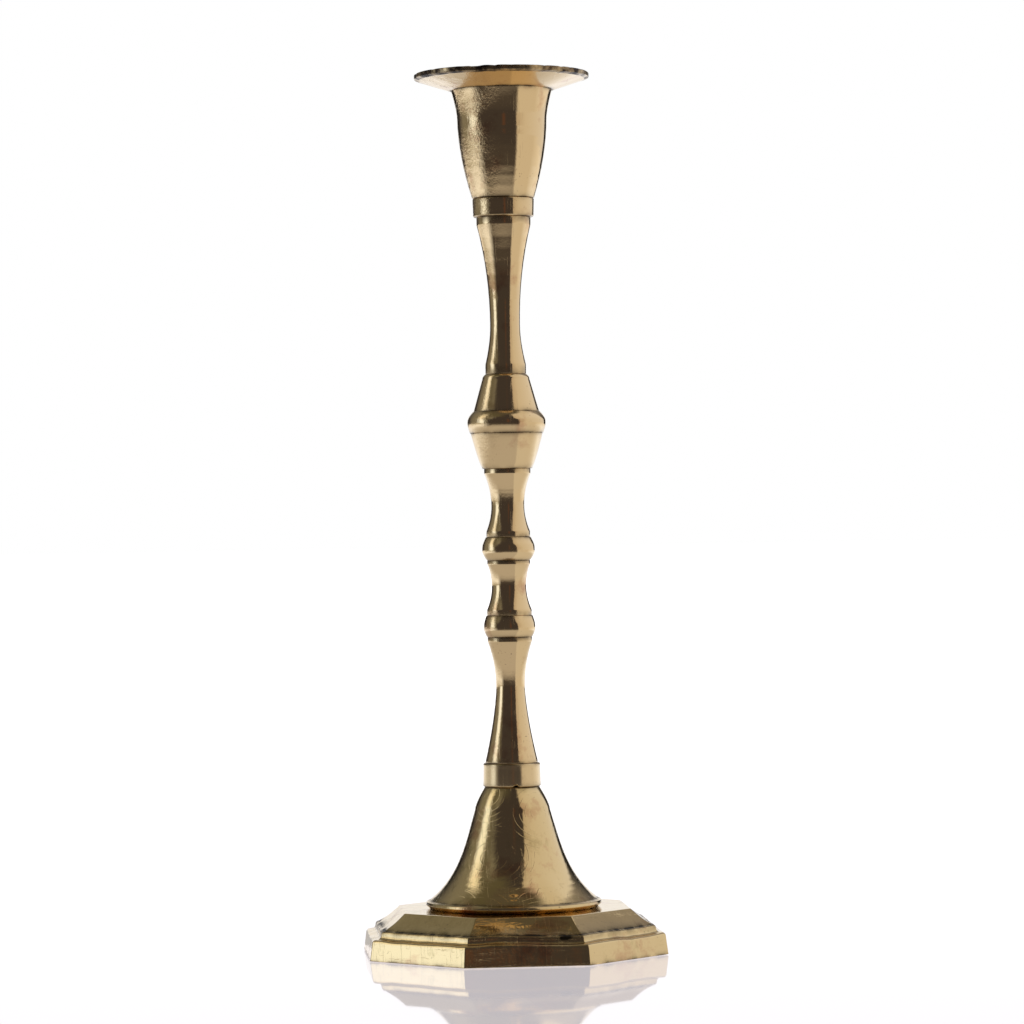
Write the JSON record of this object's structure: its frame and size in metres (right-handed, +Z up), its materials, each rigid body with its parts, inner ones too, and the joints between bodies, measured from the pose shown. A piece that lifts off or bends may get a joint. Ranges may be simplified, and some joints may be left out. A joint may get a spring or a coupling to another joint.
{
  "type": "candlestick",
  "caption": "Turned brass candlestick with an octagonal foot, a flared bell, a knopped stem and a candle cup with a round drip pan.",
  "frame": {"origin": "centre of the foot's underside, on the surface that the candlestick stands on", "axes": "+Z up along the stem's axis; X and Y are square to opposite flats of the octagonal foot"},
  "size_m": [0.079, 0.079, 0.235],
  "materials": {
    "polished_brass": "aged polish with fine scratches",
    "foot_brass": "aged and olive-toned, with grime in the corners",
    "brushed_brass": "satin, brushed round the axis",
    "steel": "plain, dulled"
  },
  "bodies": {
    "root": {"octagonal_foot": "foot_brass", "bell": "foot_brass", "lower_collar": "brushed_brass", "lower_spindle": "polished_brass", "lower_bead": "polished_brass", "lower_waist": "polished_brass", "upper_bead": "polished_brass", "upper_waist": "polished_brass", "knop_lower_cone": "polished_brass", "knop_ring": "polished_brass", "knop_upper_cone": "polished_brass", "upper_spindle": "polished_brass", "upper_collar": "polished_brass", "candle_cup": "polished_brass", "drip_pan": "polished_brass", "tie_rod": "steel", "base_washer": "steel", "base_nut": "steel"}
  },
  "joints": []
}
